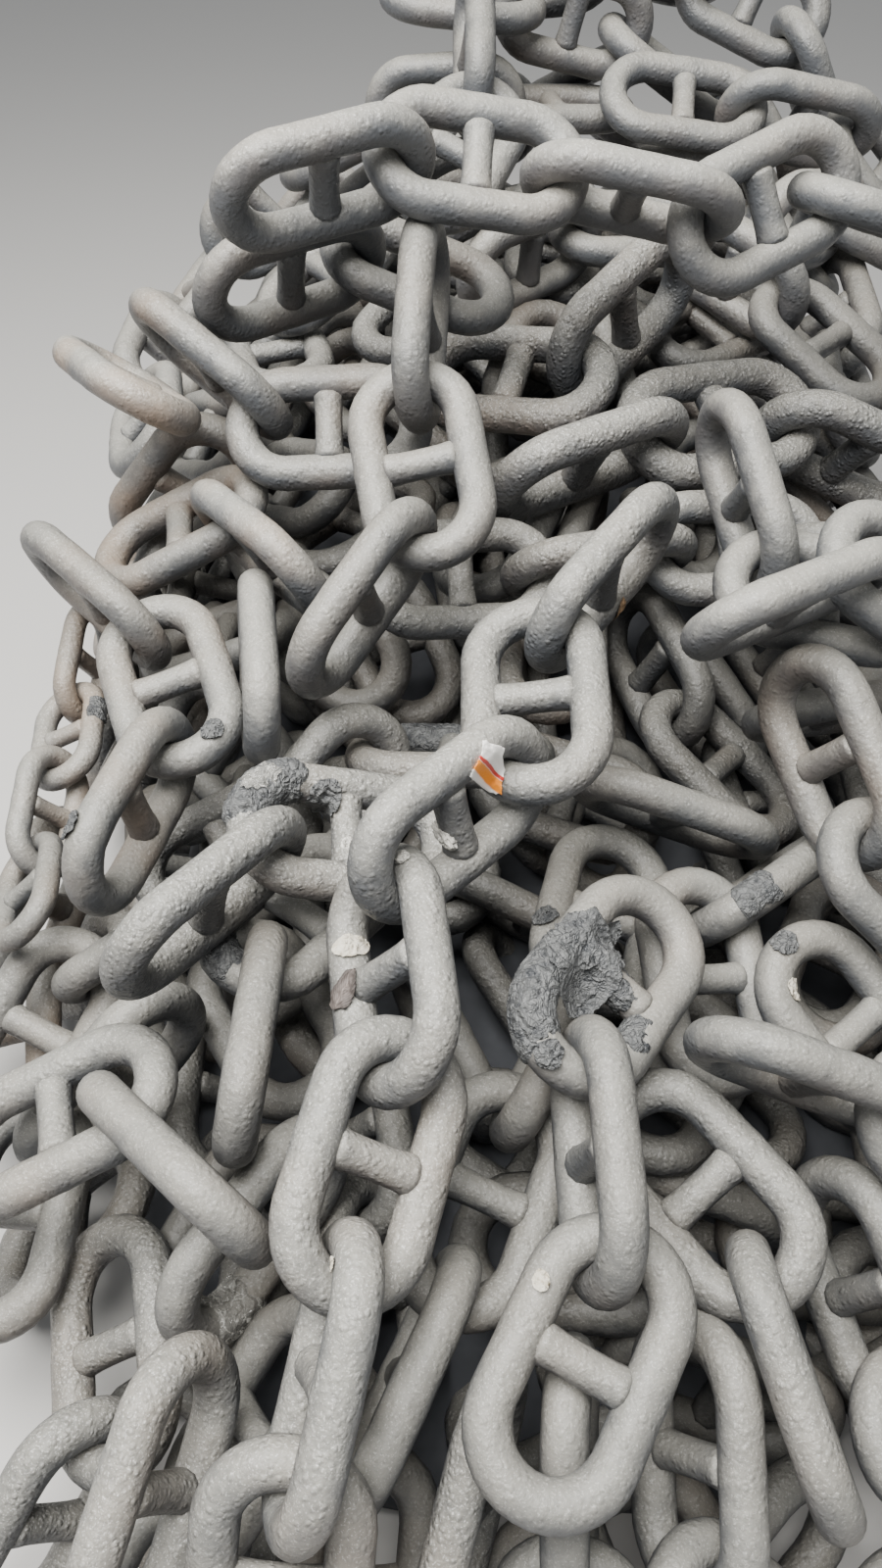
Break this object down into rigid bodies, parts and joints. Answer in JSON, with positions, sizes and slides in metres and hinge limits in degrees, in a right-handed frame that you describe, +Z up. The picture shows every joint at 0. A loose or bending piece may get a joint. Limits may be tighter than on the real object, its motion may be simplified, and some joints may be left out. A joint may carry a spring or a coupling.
{
  "type": "heap of steel chain",
  "caption": "Loose heap of heavy studded steel ship's chain, linked runs of dusty pitted links lying over and beside each other, low at the front and rising to a crest at the back.",
  "frame": {"origin": "on the floor, under the middle of the heap's outline", "axes": "+Z up, +Y from the heap's low front up the slope to its crest, +X to the right as one looks up the slope"},
  "size_m": [1.7088, 2.8114, 1.2715],
  "materials": {
    "dusty_steel": "bare forged steel, dry and dusty grey-brown, pitted, with a trace of rust",
    "shaded_core": "the same steel in deep shade between the links"
  },
  "bodies": {
    "root": {"heap_core": "shaded_core", "left_foot": "dusty_steel", "right_foot_front": "dusty_steel", "right_foot_back": "dusty_steel", "back_foot_left": "dusty_steel", "back_foot_row": "dusty_steel", "back_slope_left": "dusty_steel", "back_slope_right": "dusty_steel", "front_foot_right": "dusty_steel", "small_chain_left": "dusty_steel", "front_low_left": "dusty_steel", "front_low_right": "dusty_steel", "front_low_middle": "dusty_steel", "front_left_bar": "dusty_steel", "front_left_pitted": "dusty_steel", "front_left_cross": "dusty_steel", "left_standing_bar": "dusty_steel", "left_pair": "dusty_steel", "left_edge_loop": "dusty_steel", "left_face_and_bar": "dusty_steel", "left_sloping_bars": "dusty_steel", "middle_tilted": "dusty_steel", "left_long_bar": "dusty_steel", "left_upper_sweep": "dusty_steel", "front_right_hook": "dusty_steel", "front_right_crown": "dusty_steel", "front_middle_edge": "dusty_steel", "front_pitted_bar": "dusty_steel", "tar_covered_link": "dusty_steel", "right_middle_low": "dusty_steel", "right_long_bar": "dusty_steel", "centre_chain": "dusty_steel", "front_right_face": "dusty_steel", "right_crossing": "dusty_steel", "right_fold": "dusty_steel", "right_loop": "dusty_steel", "right_diagonal": "dusty_steel", "centre_cross_bar": "dusty_steel", "upper_pitted_chain": "dusty_steel", "upper_left_long": "dusty_steel", "upper_left_ring": "dusty_steel", "upper_left_bar": "dusty_steel", "upper_left_face": "dusty_steel", "bright_face_link": "dusty_steel", "upper_middle_fold": "dusty_steel", "heavy_pitted_link": "dusty_steel", "right_pitted_ring": "dusty_steel", "upper_cross_chain": "dusty_steel", "crest_right_bar": "dusty_steel", "crest_left_face": "dusty_steel", "crest_standing_bar": "dusty_steel", "crest_middle_loop": "dusty_steel", "crest_studded_chain": "dusty_steel", "crest_right_chain": "dusty_steel", "crest_back_row": "dusty_steel", "crest_back_right": "dusty_steel", "right_flank_chain": "dusty_steel"}
  },
  "joints": []
}
